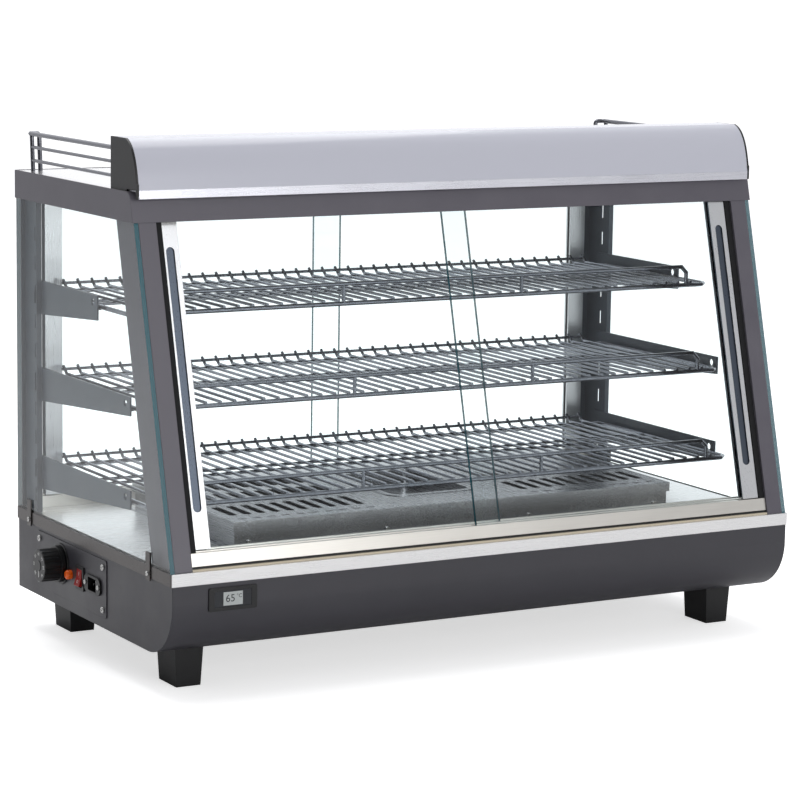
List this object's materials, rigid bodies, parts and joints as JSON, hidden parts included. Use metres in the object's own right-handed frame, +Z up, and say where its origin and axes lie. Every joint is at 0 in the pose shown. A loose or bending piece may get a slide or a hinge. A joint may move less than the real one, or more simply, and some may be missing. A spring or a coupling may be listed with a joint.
{
  "type": "heated food display case",
  "caption": "Countertop heated display case with a sloping glass front, sliding doors front and rear, wire shelves and a louvred heater base.",
  "frame": {"origin": "centre of the deck's footprint on the plane of the feet", "axes": "+X along the length, away from the control end; -Y towards the customer's sloping glass front; +Z up"},
  "size_m": [0.9333, 0.4805, 0.664],
  "materials": {
    "dark_paint": "satin dark grey",
    "grey_metal": "satin grey",
    "post_steel": "satin blue grey",
    "bright_steel": "brushed",
    "chrome_wire": "bright",
    "aluminium": "satin",
    "clear_glass": "clear",
    "light_panel": "milky",
    "tube_glass": "frosted",
    "black_plastic": "fine grain",
    "black_rubber": "matte",
    "screw_steel": "bright",
    "sill_plastic": "matte beige",
    "display_window": "glossy",
    "orange_lens": "translucent",
    "red_plastic": "glossy"
  },
  "bodies": {
    "case": {"base_wrap": "dark_paint", "base_side_left": "dark_paint", "base_side_right": "dark_paint", "base_rear": "dark_paint", "front_post_left": "grey_metal", "front_post_right": "grey_metal", "top_frame": "grey_metal", "control_plate": "grey_metal", "rear_posts": "post_steel", "brackets_top": "post_steel", "brackets_middle": "post_steel", "brackets_bottom": "post_steel", "deck": "bright_steel", "top_sheet": "bright_steel", "canopy_back": "bright_steel", "canopy_strip": "bright_steel", "glass_clips": "bright_steel", "heater_frame": "bright_steel", "heater_cover": "bright_steel", "water_tray": "bright_steel", "heater_pan": "bright_steel", "shelf_top": "chrome_wire", "shelf_middle": "chrome_wire", "shelf_bottom": "chrome_wire", "gallery_rails": "chrome_wire", "front_track_bottom": "aluminium", "front_track_top": "aluminium", "rear_track_bottom": "aluminium", "rear_track_top": "aluminium", "side_glass": "clear_glass", "canopy_panel": "light_panel", "lamp_tube": "tube_glass", "canopy_caps": "black_plastic", "dial_ring": "black_plastic", "switch_housing": "black_plastic", "power_inlet": "black_plastic", "thermometer_case": "black_plastic", "lamp_holders": "black_plastic", "feet": "black_rubber", "post_seals": "black_rubber", "front_gasket": "black_rubber", "foot_bolts": "screw_steel", "panel_screws": "screw_steel", "small_screws": "screw_steel", "thermostat": "screw_steel", "inlet_pins": "screw_steel", "heater_elements": "screw_steel", "front_sill": "sill_plastic", "thermometer_display": "display_window", "indicator_lamp": "orange_lens"},
    "front_door_left": {"front_pane_left": "clear_glass", "front_stile_left": "aluminium"},
    "front_door_right": {"front_pane_right": "clear_glass", "front_stile_right": "aluminium"},
    "rear_door_left": {"rear_pane_left": "clear_glass", "rear_stile_left": "aluminium"},
    "rear_door_right": {"rear_pane_right": "clear_glass", "rear_stile_right": "aluminium"},
    "knob": {"thermostat_knob": "black_plastic"},
    "rocker_switch": {"rocker": "red_plastic"}
  },
  "joints": [
    {"name": "front_door_left_slide", "type": "slide", "parent": "case", "child": "front_door_left", "axis": [1, 0, 0], "range_m": [0, 0.388]},
    {"name": "front_door_right_slide", "type": "slide", "parent": "case", "child": "front_door_right", "axis": [-1, 0, 0], "range_m": [0, 0.388]},
    {"name": "rear_door_left_slide", "type": "slide", "parent": "case", "child": "rear_door_left", "axis": [1, 0, 0], "range_m": [0, 0.402]},
    {"name": "rear_door_right_slide", "type": "slide", "parent": "case", "child": "rear_door_right", "axis": [-1, 0, 0], "range_m": [0, 0.402]},
    {"name": "knob_turn", "type": "hinge", "parent": "case", "child": "knob", "pos_m": [-0.46, 0.094, 0.108], "axis": [1, 0, 0], "range_deg": [0, 270]},
    {"name": "rocker_tip", "type": "hinge", "parent": "case", "child": "rocker_switch", "pos_m": [-0.4492, 0.0305, 0.1015], "axis": [0, 1, 0], "range_deg": [-24, 0]}
  ]
}
